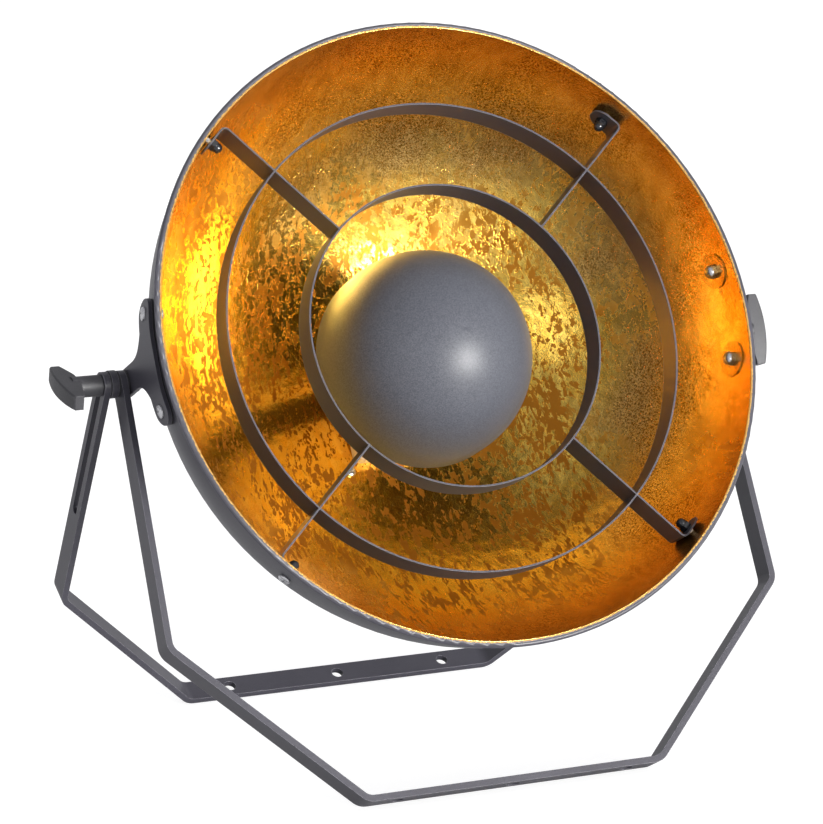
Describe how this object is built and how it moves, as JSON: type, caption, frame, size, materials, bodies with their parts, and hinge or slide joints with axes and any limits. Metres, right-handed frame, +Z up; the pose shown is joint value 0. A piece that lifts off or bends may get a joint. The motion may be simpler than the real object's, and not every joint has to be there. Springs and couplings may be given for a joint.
{
  "type": "tabletop searchlight lamp",
  "caption": "Deep round lamp head, gilded inside, with a ring grille and a glare dome, hung between two flat-bar hoops that fold and slide",
  "frame": {"origin": "on the table, straight under the middle of the tilt axis", "axes": "+X along the tilt axis to the right-hand knob, -Y to the front, +Z up"},
  "size_m": [0.4848, 0.2912, 0.4512],
  "materials": {
    "grey_paint": "satin powder coat with a faint violet cast",
    "gold_leaf": "hand-laid gold leaf, crumpled towards the middle and burnished near the rim",
    "gilded_washer": "gilded with the bowl",
    "dome_metal": "satin metallic grey",
    "black_plastic": "fine moulded grain",
    "black_metal": "black oxide",
    "black_rubber": "matt",
    "bright_steel": "bright zinc",
    "raw_brass": "bright",
    "porcelain": "glazed cream porcelain",
    "frosted_glass": "inside-frosted",
    "cap_metal": "rolled thread, satin"
  },
  "bodies": {
    "stand_front": {"front_hoop": "grey_paint", "hoop_washers": "black_rubber"},
    "stand_link": {"pivot_spacer_left": "grey_paint", "pivot_spacer_right": "grey_paint", "link_washers": "black_rubber"},
    "stand_back": {"back_hoop": "grey_paint"},
    "head": {"bowl_shell": "grey_paint", "gold_leaf_lining": "gold_leaf", "grille_outer_ring": "grey_paint", "grille_inner_ring": "grey_paint", "grille_spoke_1": "grey_paint", "grille_spoke_2": "grey_paint", "grille_spoke_3": "grey_paint", "grille_spoke_4": "grey_paint", "grille_screws": "bright_steel", "grille_cap_nuts": "black_metal", "glare_dome": "dome_metal", "dome_strap": "grey_paint", "lampholder_body": "porcelain", "lampholder_shell": "raw_brass", "lampholder_contact": "raw_brass", "lampholder_screws": "bright_steel", "lampholder_nuts": "bright_steel", "bulb_cap": "cap_metal", "bulb_glass": "frosted_glass", "earth_screw": "bright_steel", "earth_nut": "bright_steel", "cable_gland": "black_plastic", "gland_locknut": "raw_brass", "pivot_bracket_left": "grey_paint", "pivot_bracket_right": "grey_paint", "bracket_gasket_left": "black_rubber", "bracket_gasket_right": "black_rubber", "pivot_weld_nut_left": "bright_steel", "pivot_weld_nut_right": "bright_steel", "bracket_screws": "bright_steel", "bracket_washers": "gilded_washer", "bracket_nuts": "bright_steel"},
    "knob_left": {"t_knob_left": "black_plastic", "knob_stud_left": "bright_steel"},
    "knob_right": {"t_knob_right": "black_plastic", "knob_stud_right": "bright_steel"}
  },
  "joints": [
    {"name": "head_tilt", "type": "hinge", "parent": "stand_front", "child": "head", "pos_m": [0, 0, 0.245], "axis": [-1, 0, 0], "range_deg": [-116, 64]},
    {"name": "stand_fold", "type": "hinge", "parent": "stand_front", "child": "stand_link", "pos_m": [0, 0, 0.245], "axis": [1, 0, 0], "range_deg": [-57.7, 32.3]},
    {"name": "back_slide", "type": "slide", "parent": "stand_link", "child": "stand_back", "axis": [0, -0.5015, 0.8652], "range_m": [0, 0.0995]},
    {"name": "knob_left_turn", "type": "hinge", "parent": "head", "child": "knob_left", "pos_m": [-0.23, 0, 0.245], "axis": [-1, 0, 0], "continuous": true},
    {"name": "knob_right_turn", "type": "hinge", "parent": "head", "child": "knob_right", "pos_m": [0.23, 0, 0.245], "axis": [1, 0, 0], "continuous": true}
  ]
}
